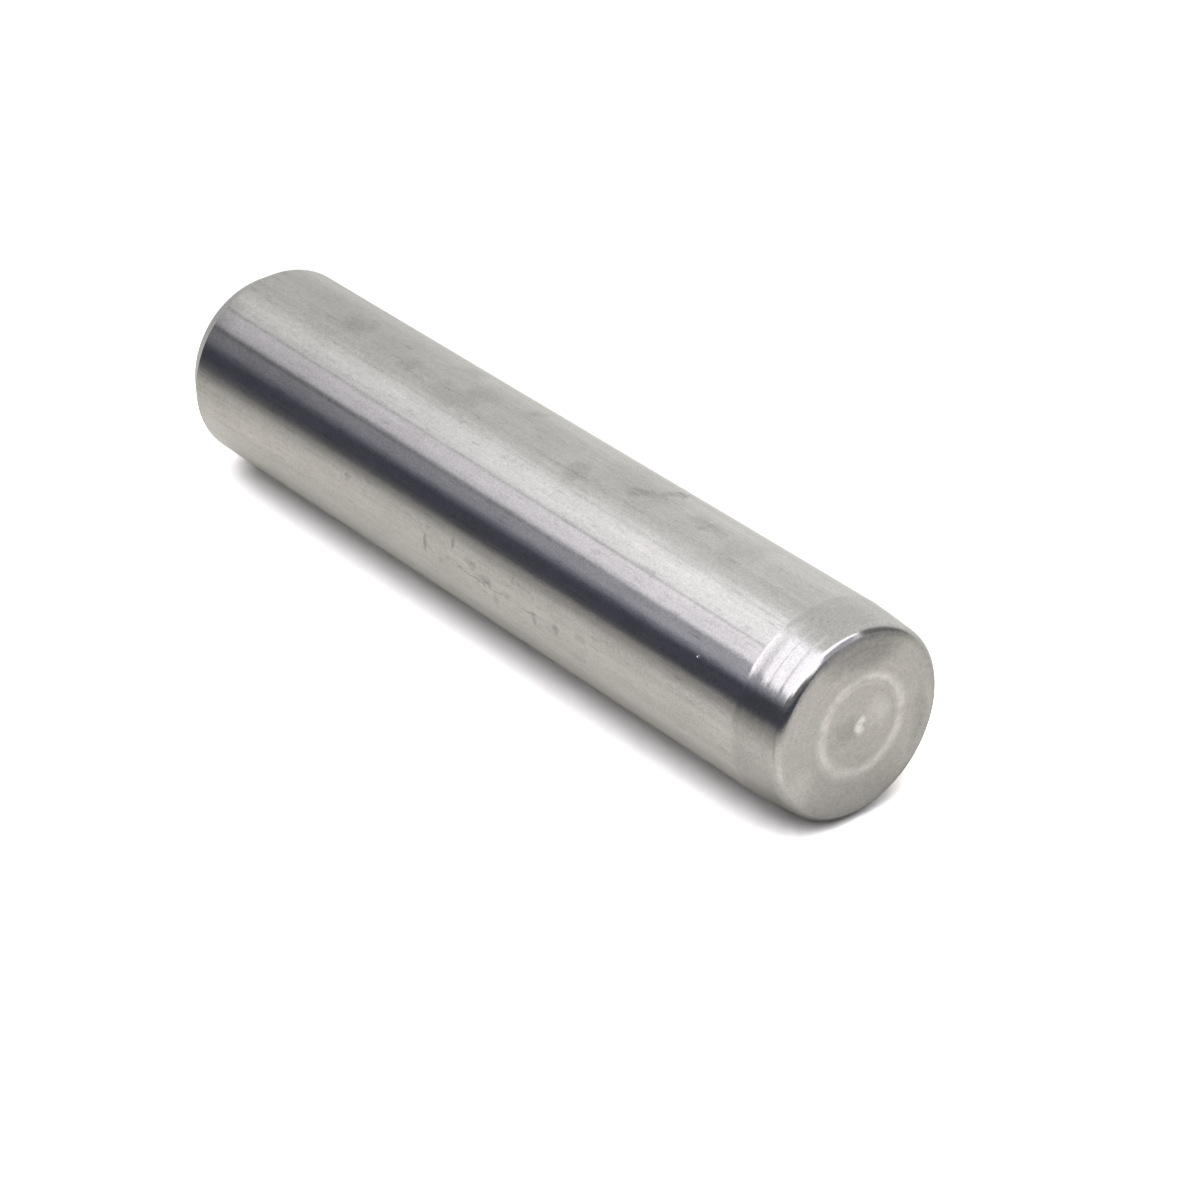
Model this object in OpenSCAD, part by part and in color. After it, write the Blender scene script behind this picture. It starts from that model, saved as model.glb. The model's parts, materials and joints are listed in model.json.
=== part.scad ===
// Guide pin: one ground steel pin that stands on its bevelled rear end, lead end up.
// The axis is Z and the centre of the rear face is the origin. Sizes are in millimetres.

/* [Shank] */
// Diameter of the ground shank
pin_d = 10; // [8:0.5:20]
// Length from the rear face to the lead face
pin_l = 45; // [20:1:120]

/* [Lead end] */
// Length of the tapered lead-in, along the axis
lead_l = 2.9; // [1.5:0.1:6]
// Slope of the lead-in against the axis, in degrees
lead_slope = 4.5; // [1:0.5:8]
// Radius of the round between the lead-in and the lead face
lead_round = 0.55; // [0.2:0.05:0.9]

/* [Lead face] */
// Diameter of the turned ring groove, at the middle of the groove
ring_d = 4.7; // [2:0.1:5]
// Width of the ring groove
ring_w = 0.5; // [0.2:0.05:0.8]
// Depth of the ring groove
ring_depth = 0.03; // [0.02:0.01:0.1]
// Diameter of the centre pip that the facing cut leaves
pip_d = 0.6; // [0.3:0.05:1]
// Height of the centre pip above the lead face
pip_h = 0.05; // [0.02:0.01:0.12]

/* [Rear end] */
// Length of the rear bevel, along the axis
bevel_l = 1.2; // [0.6:0.1:3]
// Depth of the rear bevel, from the shank towards the axis
bevel_depth = 0.75; // [0.4:0.05:1.5]
// Radius of the small rounds on both edges of the bevel
bevel_round = 0.2; // [0.05:0.05:0.4]

/* [Hidden] */
$fn = 180;

pin_r = pin_d / 2;
lead_tip_r = pin_r - lead_l * tan(lead_slope);
rear_face_r = pin_r - bevel_depth;

// The half section's sharp corners from the rear face up to the lead face, each with its round
corners = [
    [rear_face_r, 0, bevel_round],
    [pin_r, bevel_l, bevel_round],
    [pin_r, pin_l - lead_l, 0],
    [lead_tip_r, pin_l, lead_round],
];
rear_centre = [0, 0];
lead_centre = [0, pin_l];
// How far a round's circle stands past the two sides that it joins, so that it cuts them cleanly
round_bite = 0.001;

// Radius of the arc that spans a width and rises by a height
function arc_r(width, height) = (width * width / 4 + height * height) / (2 * height);
function corner_at(i) = [corners[i].x, corners[i].y];
function before(i) = i == 0 ? rear_centre : corner_at(i - 1);
function after(i) = i == len(corners) - 1 ? lead_centre : corner_at(i + 1);
function toward(from, to) = (to - from) / norm(to - from);
// Half of the angle between the two sides that meet at a corner
function half_angle(i) =
    acos(toward(corner_at(i), before(i)) * toward(corner_at(i), after(i))) / 2;
function tangent_run(i) = corners[i].z / tan(half_angle(i));
function touch_before(i) = corner_at(i) + tangent_run(i) * toward(corner_at(i), before(i));
function touch_after(i) = corner_at(i) + tangent_run(i) * toward(corner_at(i), after(i));
// Centre of a corner's round, on the line that halves the corner
function round_centre(i) =
    let (inward = toward(corner_at(i), (touch_before(i) + touch_after(i)) / 2))
    corner_at(i) + inward * corners[i].z / sin(half_angle(i));

// Material outside a corner's round, from the straight line between its touching points outwards
module round_cutter(i) {
    r = corners[i].z;
    along = toward(touch_before(i), touch_after(i));
    outward = toward(round_centre(i), corner_at(i));
    reach = 2 * r / sin(half_angle(i));
    cut_start = touch_before(i) - r * along;
    cut_end = touch_after(i) + r * along;
    difference() {
        polygon([cut_start, cut_end, cut_end + reach * outward, cut_start + reach * outward]);
        translate(round_centre(i)) circle(r = r + round_bite);
    }
}

// Solid half section of the pin with its corners rounded
module blank_section() {
    difference() {
        polygon(concat([rear_centre], [for (i = [0 : len(corners) - 1]) corner_at(i)], [lead_centre]));
        for (i = [0 : len(corners) - 1])
            if (corners[i].z > 0) round_cutter(i);
    }
}

// Shallow round-bottomed groove in the lead face
module ring_section() {
    groove_r = arc_r(ring_w, ring_depth);
    translate([ring_d / 2, pin_l - ring_depth + groove_r]) circle(r = groove_r);
}

// Low domed pip at the centre of the lead face, cut off at the axis
module pip_section() {
    dome_r = arc_r(pip_d, pip_h);
    intersection() {
        translate([0, pin_l + pip_h - dome_r]) circle(r = dome_r);
        translate([0, pin_l - pip_h]) square([pip_d, 2 * pip_h]);
    }
}

module guide_pin() {
    color([0.68, 0.68, 0.66])
        rotate_extrude() {
            difference() {
                blank_section();
                ring_section();
            }
            pip_section();
        }
}

guide_pin();
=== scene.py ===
import json
import math

import bpy
from mathutils import Matrix, Vector


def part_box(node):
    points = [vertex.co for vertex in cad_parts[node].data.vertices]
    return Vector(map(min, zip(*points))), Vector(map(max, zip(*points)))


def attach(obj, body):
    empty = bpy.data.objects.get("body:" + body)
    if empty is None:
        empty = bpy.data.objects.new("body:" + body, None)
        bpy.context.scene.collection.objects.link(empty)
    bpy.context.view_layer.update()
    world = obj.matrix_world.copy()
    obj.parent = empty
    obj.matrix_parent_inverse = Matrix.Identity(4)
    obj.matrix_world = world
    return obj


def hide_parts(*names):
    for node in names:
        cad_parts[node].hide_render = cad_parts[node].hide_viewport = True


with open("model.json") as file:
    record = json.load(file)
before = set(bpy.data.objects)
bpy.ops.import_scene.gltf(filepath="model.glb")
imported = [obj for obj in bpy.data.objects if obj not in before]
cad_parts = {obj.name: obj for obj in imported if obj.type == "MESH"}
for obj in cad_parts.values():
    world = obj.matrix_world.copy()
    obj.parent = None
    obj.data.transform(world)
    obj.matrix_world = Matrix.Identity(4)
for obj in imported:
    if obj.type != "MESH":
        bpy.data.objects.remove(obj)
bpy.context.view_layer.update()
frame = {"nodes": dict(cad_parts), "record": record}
mm = 0.001
print("frame loaded:", ", ".join(sorted(frame["nodes"])))


# sockets and node sheets

class Wire:  # an output socket, so that shader sums read as sums
    def __init__(self, sheet, socket):
        self.sheet = sheet
        self.socket = socket

    def __add__(self, other):
        return self.sheet.sum("ADD", self, other)

    __radd__ = __add__

    def __sub__(self, other):
        return self.sheet.sum("SUBTRACT", self, other)

    def __rsub__(self, other):
        return self.sheet.sum("SUBTRACT", other, self)

    def __mul__(self, other):
        return self.sheet.sum("MULTIPLY", self, other)

    __rmul__ = __mul__

    def __truediv__(self, other):
        return self.sheet.sum("DIVIDE", self, other)

    def __rtruediv__(self, other):
        return self.sheet.sum("DIVIDE", other, self)

    def __pow__(self, other):
        return self.sheet.sum("POWER", self, other)

    def __rpow__(self, other):
        return self.sheet.sum("POWER", other, self)

    def __abs__(self):
        return self.sheet.sum("ABSOLUTE", self)

    def atLeast(self, other):
        return self.sheet.sum("MAXIMUM", self, other)


class Sheet:  # a node tree and the one way to add a node to it
    def __init__(self, owner):
        owner.use_nodes = True
        self.tree = owner.node_tree
        self.tree.nodes.clear()

    def node(self, kind, settings=None, sockets=None, out=0):
        made = self.tree.nodes.new(kind)
        for key, value in (settings or {}).items():
            setattr(made, key, value)
        for key, value in (sockets or {}).items():
            if isinstance(value, Wire):
                self.tree.links.new(value.socket, made.inputs[key])
            else:
                made.inputs[key].default_value = value
        return Wire(self, made.outputs[out]) if made.outputs else made

    def ramp(self, value, span, levels=(0.0, 1.0), smooth=False):  # one level before a span, one past it
        settings = {"interpolation_type": "SMOOTHSTEP" if smooth else "LINEAR", "clamp": True}
        sockets = {"Value": value, "From Min": span[0], "From Max": span[1]}
        sockets.update({"To Min": levels[0], "To Max": levels[1]})
        return self.node("ShaderNodeMapRange", settings, sockets)

    def step(self, value, span):  # smooth step from 0 to 1
        return self.ramp(value, span, smooth=True)

    def line(self, value, place, width, core=0.3):  # 1 on a line, 0 beside it
        return 1 - self.step(abs(value - place), (width * core, width))

    def blend(self, first, second, share):  # numbers: first at 0, second at 1
        return first + (second - first) * share

    def parts(self, vector):  # x, y and z of a vector
        made = self.node("ShaderNodeSeparateXYZ", {}, {0: vector}).socket.node
        return [Wire(self, socket) for socket in made.outputs]

    def vector(self, x, y, z):
        return self.node("ShaderNodeCombineXYZ", {}, {0: x, 1: y, 2: z})

    def scaled(self, vector, scale):  # a colour or a vector times a number
        return self.node("ShaderNodeVectorMath", {"operation": "SCALE"}, {0: vector, "Scale": scale})

    def sum(self, operation, first, second=0.0):  # numbers
        return self.node("ShaderNodeMath", {"operation": operation}, {0: first, 1: second})

    def angle(self, y, x):
        return self.sum("ARCTAN2", y, x)

    def noise(self, vector, scale, detail=2.0, roughness=0.5):  # swings about 0
        sockets = {"Vector": vector, "Scale": scale, "Detail": detail, "Roughness": roughness}
        return self.node("ShaderNodeTexNoise", {"noise_dimensions": "3D"}, sockets) - 0.5

    def mix(self, share, first, second):  # colours, by the numbers of the node's colour sockets
        sockets = {"Factor": share, 6: first, 7: second}
        return self.node("ShaderNodeMix", {"data_type": "RGBA"}, sockets, out=2)


# the pin, turned from its half section

pin = {
    "node": "guide_pin",
    "slot": "ground_steel",
    "segments": 256,
    "leadLength": 2.9,  # mm, as are all lengths here
    "leadSlope": 4.5,  # degrees
    "leadBlend": 1.5,  # radius of the soft edge where the lead begins
    "leadFlats": [  # place, half width, degrees less steep
        (0.5, 0.22, 3.6), (1.2, 0.05, 2.2), (1.9, 0.09, 2.4),
    ],
    "rimRound": 0.55,
    "ringDia": 4.7,
    "ringWidth": 0.5,
    "ringDepth": 0.03,
    "pipDia": 0.6,
    "pipHeight": 0.05,
    "bevelLength": 1.2,
    "bevelDepth": 0.75,
    "bevelRound": 0.2,
    "rings": {  # how many steps each stretch of the section has
        "rearFace": 12, "rearRound": 8, "bevel": 6, "bevelRound": 6, "shank": 30,
        "leadBlend": 4, "lead": 120, "rim": 28, "leadFace": 120,
    },
    "map": {  # where the unrolled side and the two end faces lie on the map
        "edge": 0.01, "sideWidth": 0.65, "sideHeight": 0.98,
        "rearDisc": (0.83, 0.2), "leadDisc": (0.83, 0.7), "discRadius": 0.15,
    },
}
shankMount = next(m for m in frame["record"]["mounts"] if m["name"] == "shank")
pin["radius"] = shankMount["dims"]["r_mm"]
pin["length"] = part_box(pin["node"])[1][2] / mm - pin["pipHeight"]
pin["leadStart"] = pin["length"] - pin["leadLength"]


def cornerArc(before, corner, after, radius, count):
    toBefore = (before - corner).normalized()
    toAfter = (after - corner).normalized()
    half = toBefore.angle(toAfter) / 2
    centre = corner + (toBefore + toAfter).normalized() * radius / math.sin(half)
    start = corner + toBefore * radius / math.tan(half) - centre
    sweep = start.angle_signed(corner + toAfter * radius / math.tan(half) - centre)
    points = []
    for i in range(count + 1):
        turned = start.copy()
        turned.rotate(Matrix.Rotation(-sweep * i / count, 2))
        points.append(centre + turned)
    return points


def straight(start, end, count):  # points between two ends, without the ends
    return [start.lerp(end, i / count) for i in range(1, count)]


def turnedLead(start, end, count):  # the lead's cone with the flatter bands that the lathe left
    step = (end - start).length / count
    offsets = [0]
    for i in range(1, count + 1):
        lost = [tilt * math.exp(-((i * step - at) / half) ** 2) for at, half, tilt in pin["leadFlats"]]
        offsets.append(offsets[-1] + step * math.tan(math.radians(sum(lost))))
    points = []
    for i in range(1, count):
        offset = offsets[i] - offsets[-1] * i / count  # back on the cone at the rim
        points.append(start.lerp(end, i / count) + Vector((offset, 0)))
    return points


def faceHeight(at):  # height of the lead face at a radius: ring groove and centre pip
    offRing = abs(at - pin["ringDia"] / 2) / (pin["ringWidth"] / 2)
    groove = pin["ringDepth"] * (1 + math.cos(math.pi * min(offRing, 1))) / 2
    offPip = at / (pin["pipDia"] / 2)
    pip = pin["pipHeight"] * (1 + math.cos(math.pi * min(offPip, 1))) / 2
    return pip - groove


def pinSection():  # the rings from the rear centre to the lead centre, and where the two flat faces end
    r, length, rings = pin["radius"], pin["length"], pin["rings"]
    tipR = r - pin["leadLength"] * math.tan(math.radians(pin["leadSlope"]))
    rearCentre, rearEdge = Vector((0, 0)), Vector((r - pin["bevelDepth"], 0))
    bevelEdge = Vector((r, pin["bevelLength"]))
    leadStart, rimEdge = Vector((r, pin["leadStart"])), Vector((tipR, length))
    rear = cornerArc(rearCentre, rearEdge, bevelEdge, pin["bevelRound"], rings["rearRound"])
    bevel = cornerArc(rearEdge, bevelEdge, leadStart, pin["bevelRound"], rings["bevelRound"])
    soft = cornerArc(bevelEdge, leadStart, rimEdge, pin["leadBlend"], rings["leadBlend"])
    rim = cornerArc(leadStart, rimEdge, Vector((0, length)), pin["rimRound"], rings["rim"])
    points = straight(rearCentre, rear[0], rings["rearFace"]) + rear
    points += straight(rear[-1], bevel[0], rings["bevel"]) + bevel
    points += straight(bevel[-1], soft[0], rings["shank"]) + soft
    points += turnedLead(soft[-1], rim[0], rings["lead"]) + rim
    faceFrom = len(points) - 1
    for i in range(1, rings["leadFace"]):
        at = rim[-1].x * (1 - i / rings["leadFace"])
        points.append(Vector((at, length + faceHeight(at))))
    return points, points.index(rear[0]), faceFrom


def revolve(name, section, rearEnd, faceFrom, leadZ, segments):
    turn = 2 * math.pi / segments
    plan = pin["map"]
    runs = [0]  # distance along the section, for the side's map
    for i in range(1, len(section)):
        runs.append(runs[-1] + (section[i] - section[i - 1]).length)
    sideStart, sideEnd = runs[rearEnd], runs[faceFrom]

    def sideMap(i, j):
        run = (runs[i] - sideStart) / (sideEnd - sideStart)
        return plan["edge"] + plan["sideWidth"] * j / segments, plan["edge"] + plan["sideHeight"] * run

    def discMap(centre, r, j):
        reach = plan["discRadius"] * r / pin["radius"]
        return centre[0] + reach * math.cos(j * turn), centre[1] + reach * math.sin(j * turn)

    def cornerMap(row, i, j):
        if row < rearEnd:
            return discMap(plan["rearDisc"], section[i].x, j)
        return discMap(plan["leadDisc"], section[i].x, j) if row >= faceFrom else sideMap(i, j)

    verts = [(0, 0, 0)]
    for point in section:
        r, z = point.x * mm, point.y * mm
        verts += [(r * math.cos(j * turn), r * math.sin(j * turn), z) for j in range(segments)]
    verts.append((0, 0, leadZ * mm))
    faces, corners = [], []
    top = len(section) - 1
    for j in range(segments):
        k = (j + 1) % segments
        faces.append((0, 1 + k, 1 + j))
        corners += [plan["rearDisc"], cornerMap(0, 0, j + 1), cornerMap(0, 0, j)]
        faces.append((1 + top * segments + j, 1 + top * segments + k, len(verts) - 1))
        corners += [cornerMap(top, top, j), cornerMap(top, top, j + 1), plan["leadDisc"]]
    for i in range(top):
        low, high = 1 + i * segments, 1 + (i + 1) * segments
        for j in range(segments):
            k = (j + 1) % segments
            faces.append((low + j, low + k, high + k, high + j))
            corners += [cornerMap(i, i, j), cornerMap(i, i, j + 1)]
            corners += [cornerMap(i, i + 1, j + 1), cornerMap(i, i + 1, j)]
    mesh = bpy.data.meshes.new(name)
    mesh.from_pydata(verts, [], faces)
    layer = mesh.uv_layers.new(name="OFBake")
    layer.data.foreach_set("uv", [value for corner in corners for value in corner])
    mesh.shade_smooth()
    return mesh


section, rearEnd, faceFrom = pinSection()
pipTop = pin["length"] + pin["pipHeight"]
pinMesh = revolve("pinBody", section, rearEnd, faceFrom, pipTop, pin["segments"])
pinBody = bpy.data.objects.new("pinBody", pinMesh)
bpy.context.scene.collection.objects.link(pinBody)
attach(pinBody, "root")
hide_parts(pin["node"])
print("pin turned:", len(section), "rings,", len(pinMesh.polygons), "faces")


# ground steel

steel = {
    "tint": (0.497, 0.487, 0.468),
    "shankRoughness": 0.1,
    "leadRoughness": 0.14,
    "faceRoughness": 0.5,
    "bevelRoughness": 0.34,
    "ringRough": 0.1,  # how much rougher the ring, the mottling, the grain and worn places are
    "mottleRough": 0.05,
    "grainRough": 0.05,
    "wornRough": 0.3,
    "patterns": {  # scale, detail and roughness of each noise
        "ragged": (1.3, 2.0, 0.5), "mottle": (0.45, 4.0, 0.6),
        "grain": (4.5, 3.0, 0.6), "speckle": (11.0, 1.0, 0.5),
        "lines": (1.0, 3.0, 0.6), "dashes": (1.0, 2.0, 0.6), "lathe": (1.0, 2.0, 0.7),
    },
    "lineStretch": (3.2, 0.12),  # how fine the grinding lines are across and along the shank
    "dashStretch": (5.0, 0.9),  # and the short lines of wear
    "latheStretch": (6.0, 0.25, 5.0),  # marks of the lathe: out from the axis, around and along
    "mottleShade": 0.22,  # how strongly each pattern shades the steel
    "grainShade": 0.28,
    "faceGrain": 0.16,  # more of it on the lead face
    "speckleShade": 0.45,
    "lineShade": 0.36,
    "dashShade": 0.15,
    "dashFrom": (0.06, 0.24),
    "latheShade": 0.22,
    "grainHeight": 0.0008,  # bump heights in mm
    "lineHeight": 0.0007,
    "latheHeight": 0.003,
    "leadEdge": (-0.05, 0.05),  # from where the lead begins, mm
    "coneEdge": (-0.15, 0.25),
    "coneRagged": 0.3,
    "rimFrom": (-0.7, -0.4),  # from the lead face, mm
    "faceFrom": (-0.12, -0.04),
    "bevelEdge": (-0.15, 0.1),  # from where the bevel ends, mm
    "rearTo": (0.02, 0.1),  # from the rear face, mm
    "bevelGain": -0.1,  # how much lighter or darker than the shank
    "leadGain": -0.14,
    "rimGain": -0.09,
    "faceGain": 0.03,
    # painted highlights on the lead face's ring and centre pip
    "ringHighlight": 0.46,
    "pipHighlight": 0.42,
    "smudges": [  # turn in degrees, height, half sizes around and along in mm, depth
        (-112, 15.3, 0.9, 0.8, 0.18), (-95, 17.7, 0.8, 1.3, 0.17), (-92, 8.3, 1.0, 1.5, 0.13),
        (-110, 30.5, 1.4, 0.5, 0.28), (-93, 29.7, 0.8, 1.0, 0.20), (-97, 34.0, 0.7, 1.6, 0.18),
        (-80, 26.3, 1.0, 0.8, 0.14), (-82, 17.0, 1.0, 2.0, 0.11), (12, 31.3, 0.5, 0.6, 0.12),
        (-106, 20.6, 1.3, 0.6, 0.19), (-86, 13.0, 0.7, 1.1, 0.15), (-105, 29.0, 2.4, 3.4, 0.09),
        (-107, 8.0, 2.6, 7.5, 0.08), (-96, 36.5, 1.6, 1.4, 0.07),
    ],
    "ticks": [  # turn in degrees, height, half sizes around and along in mm, depth
        (1.6, 20.0, 0.7, 0.18, 0.32), (-8.4, 22.1, 0.4, 0.16, 0.3), (-3.5, 23.5, 0.28, 0.6, 0.2),
        (5.0, 28.2, 0.4, 0.25, 0.24), (3.3, 29.8, 0.33, 0.33, 0.26), (-7.7, 13.8, 0.3, 0.25, 0.2),
        (-9.0, 26.6, 0.3, 0.12, 0.2), (-53.5, 34.3, 0.35, 0.2, 0.17), (0.5, 24.6, 0.3, 0.7, 0.2),
        (6.5, 21.2, 0.3, 0.3, 0.18), (9.0, 25.3, 0.4, 0.35, 0.17), (-1.0, 31.6, 0.25, 0.6, 0.16),
    ],
    "facePatchesAndShade": [  # painted shade darkening the top of the lead face, and lighter and darker patches elsewhere: middle across and down from the axis, half sizes in mm, depth
        (-0.3, -4.3, 3.9, 1.8, 0.3), (0.9, 0.0, 1.0, 0.9, 0.14), (-1.1, -0.4, 1.0, 1.2, -0.14),
        (0.2, 4.2, 2.2, 0.9, -0.06), (3.5, 2.0, 1.0, 1.3, -0.10), (-3.6, 0.9, 0.7, 1.7, 0.12),
    ],
    "pipLitAndShaded": [  # as the face patches: painted highlight and painted shade on the pip, a bright ragged dot with a dark place beside it
        (0.12, 0.04, 0.34, 0.34, -0.16), (-0.1, -0.3, 0.3, 0.28, -0.28),
        (-0.04, 0.28, 0.3, 0.28, -0.2), (-0.24, 0.02, 0.2, 0.2, 0.22),
    ],
    "ringOff": 0.08,  # the ring's painted highlight, a bright line, is this far off the axis, mm
    "ringHalf": 0.46,  # half width of that line
    "ringRagged": 2.2,
    "pipEdge": (0.16, 0.42),
    "pipRagged": (0.2, 1.2),  # of its outline and its brightness
    "smudgeRagged": (1.6, 1.2),  # around and along
    "smudgeStreaks": 4.0,  # how much the grinding lines break the smudges up
    "tickRagged": (0.3, 0.25),
    "patchRagged": 0.8,
    "scratch": (19.3, 30.0, 3.0, 0.09, 0.26),  # start, end, turn in degrees, half width, depth
    "scratchRagged": 0.9,
    "scratchEnds": (1.0, 3.0),  # how far it fades in and out, mm
    "scratchBreaks": (-0.08, 0.06),
    "nick": (-29.7, 39.07, 0.07, 0.1, 0.014),  # turn in degrees, height, half sizes, depth in mm
}


def spot(sheet, first, second, mark):  # 1 in the middle of a mark, 0 outside it
    offFirst = (first - mark[0]) / mark[2]
    offSecond = (second - mark[1]) / mark[3]
    return 1 - sheet.step(offFirst * offFirst + offSecond * offSecond, (0.0, 1.0))


def spots(sheet, first, second, marks):  # depths of all marks together
    total = 0.0
    for mark in marks:
        total = spot(sheet, first, second, mark) * mark[4] + total
    return total


def unrolled(marks):  # marks given by their turn, with the way round the shank instead
    return [(math.radians(mark[0]) * pin["radius"],) + mark[1:] for mark in marks]


def wornMarks(sheet, around, height, ragged, broken, lines):  # how much darker the worn places are
    sideways, lengthways = steel["smudgeRagged"]
    smudges = unrolled(steel["smudges"])
    wearAndShade = spots(sheet, around + ragged * sideways, height + ragged * lengthways, smudges)
    wearAndShade = wearAndShade * (1 + lines * steel["smudgeStreaks"])
    sideways, lengthways = steel["tickRagged"]
    ticks = unrolled(steel["ticks"])
    wearAndShade = wearAndShade + spots(sheet, around + ragged * sideways, height + ragged * lengthways, ticks)
    start, end, turn, width, depth = steel["scratch"]
    fadeIn, fadeOut = steel["scratchEnds"]
    onLine = sheet.line(around + ragged * steel["scratchRagged"], math.radians(turn) * pin["radius"], width)
    within = sheet.step(height, (start, start + fadeIn)) * (1 - sheet.step(height, (end - fadeOut, end)))
    return wearAndShade + onLine * within * sheet.step(broken, steel["scratchBreaks"]) * depth


def past(place, span):  # a span that is given from a place
    return place + span[0], place + span[1]


def groundSteel():
    material = bpy.data.materials.new("groundSteel")
    sheet = Sheet(material)
    place = sheet.scaled(sheet.node("ShaderNodeTexCoord", out="Object"), 1 / mm)  # millimetres
    x, y, z = sheet.parts(place)
    around = sheet.angle(y, x) * pin["radius"]
    out = (x * x + y * y) ** 0.5  # distance from the axis
    isLead = sheet.step(z, past(pin["leadStart"], steel["leadEdge"]))
    isRim = sheet.step(z, past(pin["length"], steel["rimFrom"]))
    isFace = sheet.step(z, past(pin["length"], steel["faceFrom"]))
    isRear = 1 - sheet.step(z, steel["rearTo"])
    isEnd = isFace + isRear
    isBevel = 1 - sheet.step(z, past(pin["bevelLength"], steel["bevelEdge"]))
    isShank = 1 - isLead.atLeast(isBevel)

    patterns = steel["patterns"]
    ragged = sheet.noise(place, *patterns["ragged"])
    mottle = sheet.noise(place, *patterns["mottle"])
    grain = sheet.noise(place, *patterns["grain"])
    speckle = sheet.noise(place, *patterns["speckle"])
    across, along = steel["lineStretch"]
    lines = sheet.noise(sheet.vector(x * across, y * across, z * along), *patterns["lines"])
    across, along = steel["dashStretch"]
    dashes = sheet.noise(sheet.vector(x * across, y * across, z * along), *patterns["dashes"])
    outward, sideways, along = steel["latheStretch"]
    lathe = sheet.noise(sheet.vector(out * outward, around * sideways, z * along), *patterns["lathe"])

    # painted highlight on the turned ring, which is also made rougher
    offX = x + steel["ringOff"]
    offRing = abs((offX * offX + y * y) ** 0.5 - pin["ringDia"] / 2)
    onRing = 1 - sheet.step(offRing, (0.0, steel["ringHalf"]))
    onRing = onRing * isFace * (1 + ragged * steel["ringRagged"])
    # painted highlight on the centre pip
    outline, brightness = steel["pipRagged"]
    onPip = (1 - sheet.step(out + ragged * outline, steel["pipEdge"])) * isFace * (1 + ragged * brightness)
    onCone = sheet.step(z + ragged * steel["coneRagged"], past(pin["leadStart"], steel["coneEdge"])) - isRim
    # painted shade on the lead face's top, lighter and darker patches elsewhere, and the pip's painted
    # highlight and shade
    shift = ragged * steel["patchRagged"]
    patchesAndShade = spots(sheet, x + shift, y + shift, steel["facePatchesAndShade"])
    patchesAndShade = (patchesAndShade + spots(sheet, x, y, steel["pipLitAndShaded"])) * isFace
    # the shank's wear, together with the lead face's painted shade and the pip's painted light and shade
    wearAndShade = wornMarks(sheet, around, z, ragged, mottle, lines) * isShank + patchesAndShade

    shade = 1 + mottle * steel["mottleShade"] + speckle * steel["speckleShade"] - wearAndShade
    shade = shade + grain * (steel["grainShade"] + isFace * steel["faceGrain"])
    dashed = sheet.step(dashes, steel["dashFrom"]) * steel["dashShade"]
    shade = shade + (lines * steel["lineShade"] - dashed) * isShank + lathe * steel["latheShade"] * isEnd
    shade = shade + onRing * steel["ringHighlight"] + onPip * steel["pipHighlight"]
    shade = shade + onCone * steel["leadGain"] + (isRim - isFace) * steel["rimGain"]
    shade = shade + isFace * steel["faceGain"] + isBevel * steel["bevelGain"]

    roughness = sheet.blend(steel["shankRoughness"], steel["leadRoughness"], isLead)
    roughness = sheet.blend(roughness, steel["bevelRoughness"], isBevel)
    roughness = sheet.blend(roughness, steel["faceRoughness"], isEnd) + onRing * steel["ringRough"]
    roughness = roughness + mottle * steel["mottleRough"] + grain * steel["grainRough"]
    roughness = roughness + wearAndShade * steel["wornRough"]

    nick = spots(sheet, around, z, unrolled([steel["nick"]]))
    height = grain * steel["grainHeight"] + lines * steel["lineHeight"] * isShank
    height = height + lathe * (isLead + isRear) * steel["latheHeight"] - nick
    bump = sheet.node("ShaderNodeBump", {}, {"Strength": 1.0, "Distance": mm, "Height": height})
    sockets = {"Base Color": sheet.scaled(steel["tint"], shade), "Metallic": 1.0}
    sockets.update({"Roughness": roughness, "Normal": bump})
    shader = sheet.node("ShaderNodeBsdfPrincipled", {}, sockets)
    sheet.node("ShaderNodeOutputMaterial", {}, {"Surface": shader})
    return material


pinMesh.materials.append(groundSteel())
print("steel finished")


# the table that the pin lies against

table = {
    "size": 1600,  # mm
    "paper": (1.1, 1.1, 1.1, 1.0),  # what the camera sees far from the pin
    "colour": (0.755, 0.74, 0.65),
    "seen": (3.14, 3.09, 2.93),  # for the camera, which overexposes it
    "contact": 12,  # reach of the painted contact shadow under the pin, mm
    "darkest": 0.08,
    "glow": 0.1,  # painted glow: light the table gives off along the line under the pin
    "glowTint": (0.98, 0.98, 1.0),
    "glowSide": (1.2, 3.0),  # from the line of contact, mm
    "gloss": 1.6,  # index of its smooth skin
    "roughness": 0.05,
    "rightFade": ((13, 26), (1.0, 0.78)),  # the light falls off to the sides, behind and in front, mm
    "farFade": ((30, 100), (1.0, 0.7)),
    "rearFade": ((0, -45), (0.0, 0.55)),
    "rearSide": (-45, -15),
    "frontFade": ((45, 75), (1.0, 0.82)),
    "frontLight": ((45, 48), (1.0, 1.4)),  # painted light: lighter again in front of the lead face
    "leftFade": ((-2, -14), (1.0, 0.8)),
    "footFade": ((1, 7), (0.5, 1.0)),  # painted shadow around the foot of the lead face
    "plainFrom": (9, 13),  # past this distance from the pin nothing shades it, mm
}
up = Vector((0, -1, 0))  # away from the table


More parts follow.
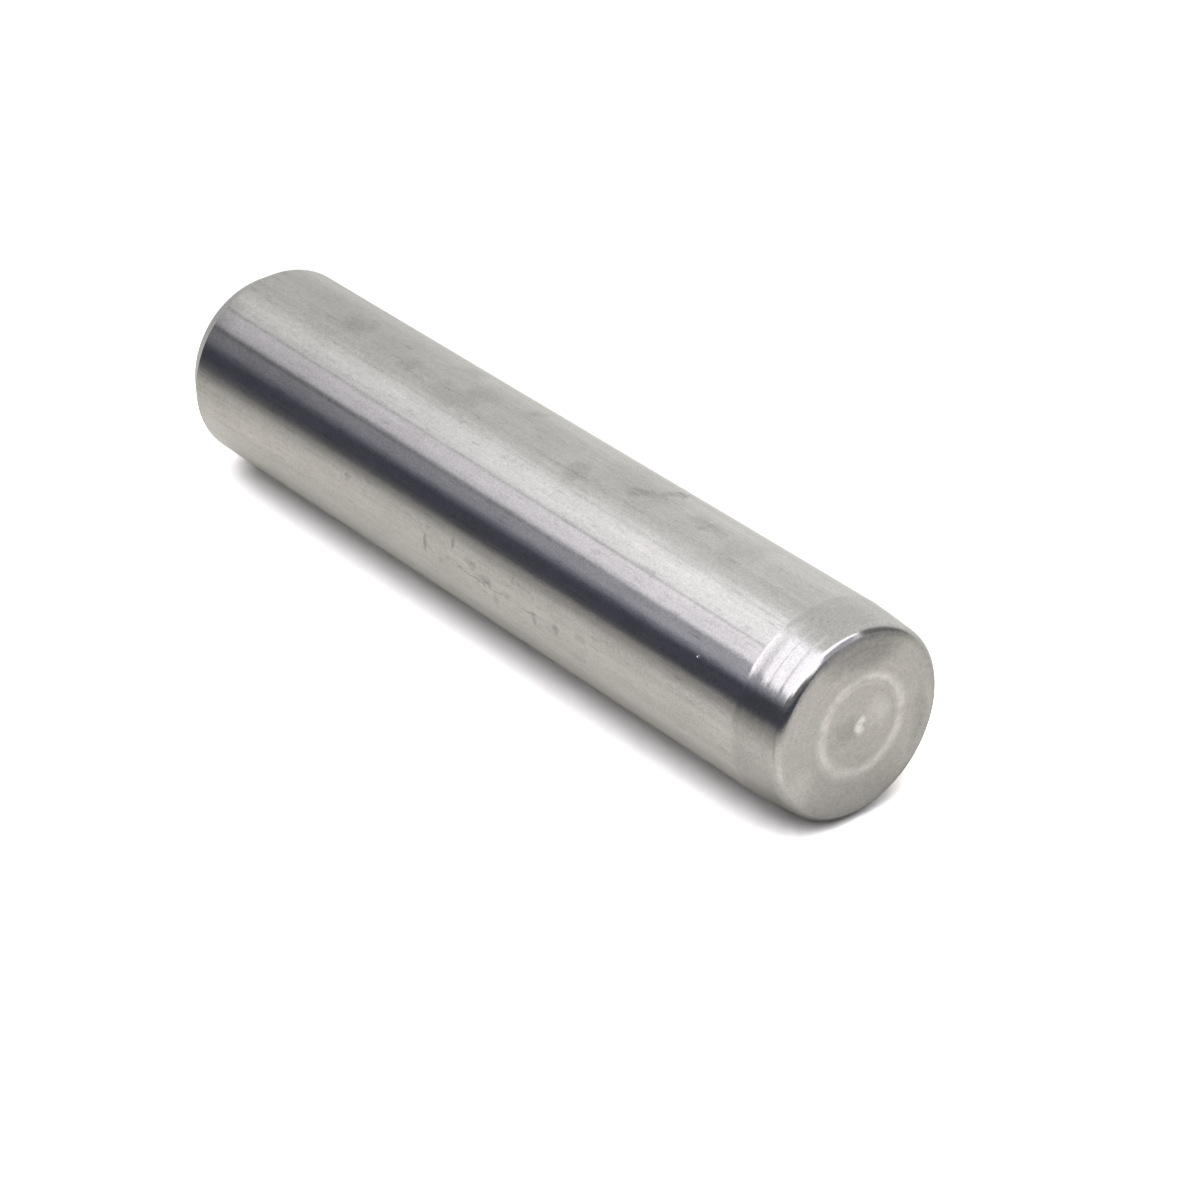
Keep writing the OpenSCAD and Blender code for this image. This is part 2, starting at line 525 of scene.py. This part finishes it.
def paleTable():
    half = table["size"] / 2 * mm
    under = pin["radius"] * mm
    middle = pin["length"] / 2 * mm
    low, high = middle - half, middle + half
    verts = [(-half, under, low), (half, under, low), (half, under, high), (-half, under, high)]
    mesh = bpy.data.meshes.new("table")
    mesh.from_pydata(verts, [], [(0, 1, 2, 3)])
    made = bpy.data.objects.new("table", mesh)
    bpy.context.scene.collection.objects.link(made)
    material = bpy.data.materials.new("paleTable")
    sheet = Sheet(material)
    x, y, z = sheet.parts(sheet.scaled(sheet.node("ShaderNodeTexCoord", out="Object"), 1 / mm))
    # the table's colour as other surfaces see it carries painted shade and light: light falling off, a
    # painted shadow at the foot of the lead face and painted light in front of it
    fade = sheet.ramp(x, *table["rightFade"]) * sheet.ramp(z, *table["frontFade"])
    fade = fade * sheet.ramp(x, *table["leftFade"]) * sheet.ramp(x, *table["farFade"])
    fade = fade * sheet.ramp(z, *table["frontLight"])
    pastFace = z - pin["length"]
    fade = fade * sheet.ramp((x * x + pastFace * pastFace) ** 0.5, *table["footFade"])
    fade = fade * (1 - sheet.ramp(z, *table["rearFade"]) * sheet.step(x, table["rearSide"]))
    sockets = {"Base Color": sheet.scaled(table["colour"], fade)}
    sockets.update({"Roughness": table["roughness"], "IOR": table["gloss"]})
    # painted glow along the line of contact
    paintedGlow = sheet.scaled(table["glowTint"], 1 - sheet.step(abs(x), table["glowSide"]))
    sockets.update({"Emission Color": paintedGlow, "Emission Strength": table["glow"]})
    mirrored = sheet.node("ShaderNodeBsdfPrincipled", {}, sockets)
    # ambient occlusion darkens the table's colour near the pin: a painted contact shadow on top of the lit
    # one
    sockets = {"Distance": table["contact"] * mm}
    clearance = sheet.node("ShaderNodeAmbientOcclusion", {"samples": 1}, sockets, out="AO")
    shaded = sheet.scaled(table["seen"], sheet.blend(table["darkest"], 1.0, clearance))
    sockets = {"Base Color": shaded, "Roughness": 1.0, "Specular IOR Level": 0.0}
    near = sheet.node("ShaderNodeBsdfPrincipled", {}, sockets)
    plain = sheet.node("ShaderNodeEmission", {}, {"Color": table["paper"], "Strength": 1.0})
    away = abs(x).atLeast(abs(z - pin["length"] / 2) - pin["length"] / 2)
    isPlain = sheet.step(away, table["plainFrom"])
    seen = sheet.node("ShaderNodeMixShader", {}, {0: isPlain, 1: near, 2: plain})
    isCamera = sheet.node("ShaderNodeLightPath", out="Is Camera Ray")
    front = sheet.node("ShaderNodeMixShader", {}, {0: isCamera, 1: mirrored, 2: seen})
    clear = sheet.node("ShaderNodeBsdfTransparent")
    isBack = sheet.node("ShaderNodeNewGeometry", out="Backfacing")
    shown = sheet.node("ShaderNodeMixShader", {}, {0: isBack, 1: front, 2: clear})
    sheet.node("ShaderNodeOutputMaterial", {}, {"Surface": shown})
    mesh.materials.append(material)


paleTable()


# the room: one long overhead panel, pale walls behind, and a dark side where the camera stands

room = {
    "panel": 2.5,  # brightness
    "panelLeft": (-0.62, -0.5),  # edges, in the room seen from above with a radius of 1
    "panelRight": (0.78, 0.86),
    "panelBack": (-0.02, 0.2),
    "panelBend": (0.12, 2.4),
    "panelFront": (0.66, 0.8),
    "panelTop": (0.78, 0.92),
    "panelFull": (-0.56, -0.46),
    "panelEnd": (0.85, 0.896),
    "dimFrom": (0.32, 0.42),  # the panel is dimmer in front, on its left side
    "dimLeft": (-0.6, -0.46),
    "dimRight": (0.08, 0.2),
    "dimShare": 0.8,
    "foot": (-0.775, -0.634),  # the panel fades out towards the pin's rear
    "footBack": (-0.3, 0.06),
    "footShare": 0.45,
    "seams": [(0.715, 0.018, 0.32), (0.425, 0.02, 0.1)],  # place across the panel, width, depth
    "seamEnd": (-0.62, -0.57),
    "endLine": (0.888, 0.02, 0.32),
    "endLineFade": ((-0.7, -0.63), (1.0, 0.15)),
    "wall": (1.02, 0.58),
    "wallFade": (0.6, 0.86),
    "rearDim": ((-0.73, -0.62), (0.78, 1.02)),
    "front": 0.27,
    "frontFade": (-0.1, 0.35),
    "rightFade": (0.62, 0.84),
    "pastEnd": ((-0.73, -0.62), (0.3, 0.72)),
    "horizon": 0.102,
    "horizonTilt": (0.4, 0.5),  # higher towards the front, up to a limit
    "horizonRise": (-0.622, -0.432),
    "horizonSide": (-0.2, 0.3),
    "wallTint": (1.0, 1.0, 0.99, 1.0),
    "panelTint": (0.98, 0.965, 1.07, 1.0),
    "sideTint": (0.99, 0.965, 1.045, 1.0),  # the panel's right end
    "sideFrom": (0.7, 0.74),
    "endTint": (0.94, 0.96, 1.08, 1.0),
    "darkTint": (0.88, 0.93, 1.2, 1.0),
}


def studioRoom():
    world = bpy.data.worlds.new("room")
    bpy.context.scene.world = world
    sheet = Sheet(world)
    x, y, z = sheet.parts(sheet.node("ShaderNodeTexCoord", out="Generated"))
    diagonal = math.sqrt(0.5)
    side = (x - z) * diagonal  # along the panel
    front = (x + z) * diagonal  # towards the camera
    wall = sheet.ramp(side, room["wallFade"], room["wall"]) * sheet.ramp(z, *room["rearDim"])
    dim = sheet.step(z, room["frontFade"]).atLeast(sheet.step(x, room["rightFade"]))
    wall = sheet.blend(wall, room["front"], dim)
    bendStart, bend = room["panelBend"]
    full = sheet.step(x + bend * (z + bendStart).atLeast(0.0), room["panelBack"])
    foot = sheet.ramp(z, room["foot"]) * sheet.step(x, room["footBack"]) * room["footShare"]
    panel = sheet.blend(foot, full, sheet.step(z, room["panelFull"]))
    panel = panel * sheet.step(x, room["panelLeft"]) * (1 - sheet.step(x, room["panelRight"]))
    panel = panel * (1 - sheet.step(front, room["panelFront"])) * (1 - sheet.step(z, room["panelTop"]))
    dimmer = sheet.step(z, room["dimFrom"]) * sheet.step(x, room["dimLeft"])
    dimmer = dimmer * (1 - sheet.step(x, room["dimRight"]))
    level = sheet.blend(wall, room["panel"], panel * (1 - dimmer * room["dimShare"]))
    beforeSeamEnd = 1 - sheet.step(z, room["seamEnd"])
    for place, width, depth in room["seams"]:
        level = level * (1 - sheet.line(side, place, width) * beforeSeamEnd * depth)
    pastEnd = sheet.step(side, room["panelEnd"])
    level = sheet.blend(level, sheet.ramp(z, *room["pastEnd"]), pastEnd)
    place, width, depth = room["endLine"]
    level = level * (1 - sheet.line(side, place, width) * sheet.ramp(z, *room["endLineFade"]) * depth)
    tilt, limit = room["horizonTilt"]
    horizon = sheet.step(y - tilt * (0 - z).atLeast(limit), room["horizonRise"])
    horizon = horizon * sheet.step(x, room["horizonSide"])
    level = sheet.blend(level, room["horizon"], horizon)
    colour = sheet.mix(panel, room["wallTint"], room["panelTint"])
    colour = sheet.mix(sheet.step(side, room["sideFrom"]), colour, room["sideTint"])
    colour = sheet.mix(pastEnd, colour, room["endTint"])
    colour = sheet.mix(horizon, colour, room["darkTint"])
    lit = sheet.node("ShaderNodeBackground", {}, {"Color": colour, "Strength": level})
    paper = sheet.node("ShaderNodeBackground", {}, {"Color": table["paper"], "Strength": 1.0})
    isCamera = sheet.node("ShaderNodeLightPath", out="Is Camera Ray")
    shown = sheet.node("ShaderNodeMixShader", {}, {0: isCamera, 1: lit, 2: paper})
    sheet.node("ShaderNodeOutputWorld", {}, {"Surface": shown})


studioRoom()
print("table and room set")


# the camera

view = {
    "place": (113.75, -106.77, 165.91),  # mm
    "aim": (-2.73, 4.59, 23.59),
    "lens": 134.18,
    "sensor": 36,
    "nearest": 10,
}


def lookAt():
    camera = bpy.data.cameras.new("camera")
    camera.sensor_width = view["sensor"]
    camera.lens = view["lens"]
    camera.clip_start = view["nearest"] * mm
    made = bpy.data.objects.new("camera", camera)
    bpy.context.scene.collection.objects.link(made)
    place = Vector(view["place"]) * mm
    back = (place - Vector(view["aim"]) * mm).normalized()
    right = up.cross(back).normalized()
    axes = Matrix((right, back.cross(right), back)).transposed()
    made.matrix_world = Matrix.Translation(place) @ axes.to_4x4()
    bpy.context.scene.camera = made


lookAt()
bpy.context.scene.view_settings.view_transform = "Standard"
print("camera set")
